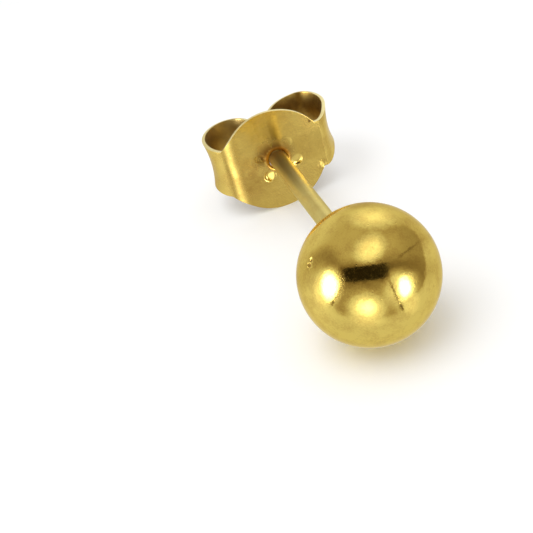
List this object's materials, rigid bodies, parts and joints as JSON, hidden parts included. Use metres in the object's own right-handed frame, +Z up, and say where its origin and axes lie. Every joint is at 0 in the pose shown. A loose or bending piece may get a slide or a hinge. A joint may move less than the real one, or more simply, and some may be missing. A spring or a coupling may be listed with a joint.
{
  "type": "ball stud earring",
  "caption": "Ball stud earring: a polished gold ball on a straight post, with a rolled butterfly back that slides on the post behind the ear lobe.",
  "frame": {"origin": "on the surface it rests on, under the middle of its bounding box", "axes": "+Z up, +Y from the ball along the post towards its tip, +X along the butterfly's wings; the post dips 1.6 degrees towards its tip, because the ball is higher than the butterfly's plate"},
  "size_m": [0.0056, 0.0162, 0.005],
  "materials": {
    "polished_gold": "polished yellow gold",
    "satin_gold": "satin yellow gold sheet, a little tarnished"
  },
  "bodies": {
    "stud": {"ball_and_post": "polished_gold"},
    "clutch": {"butterfly_back": "satin_gold"}
  },
  "joints": [
    {"name": "clutch_slide", "type": "slide", "parent": "stud", "child": "clutch", "axis": [0, 0.9996, -0.0285], "range_m": [-0.0076, 0.0035]}
  ]
}
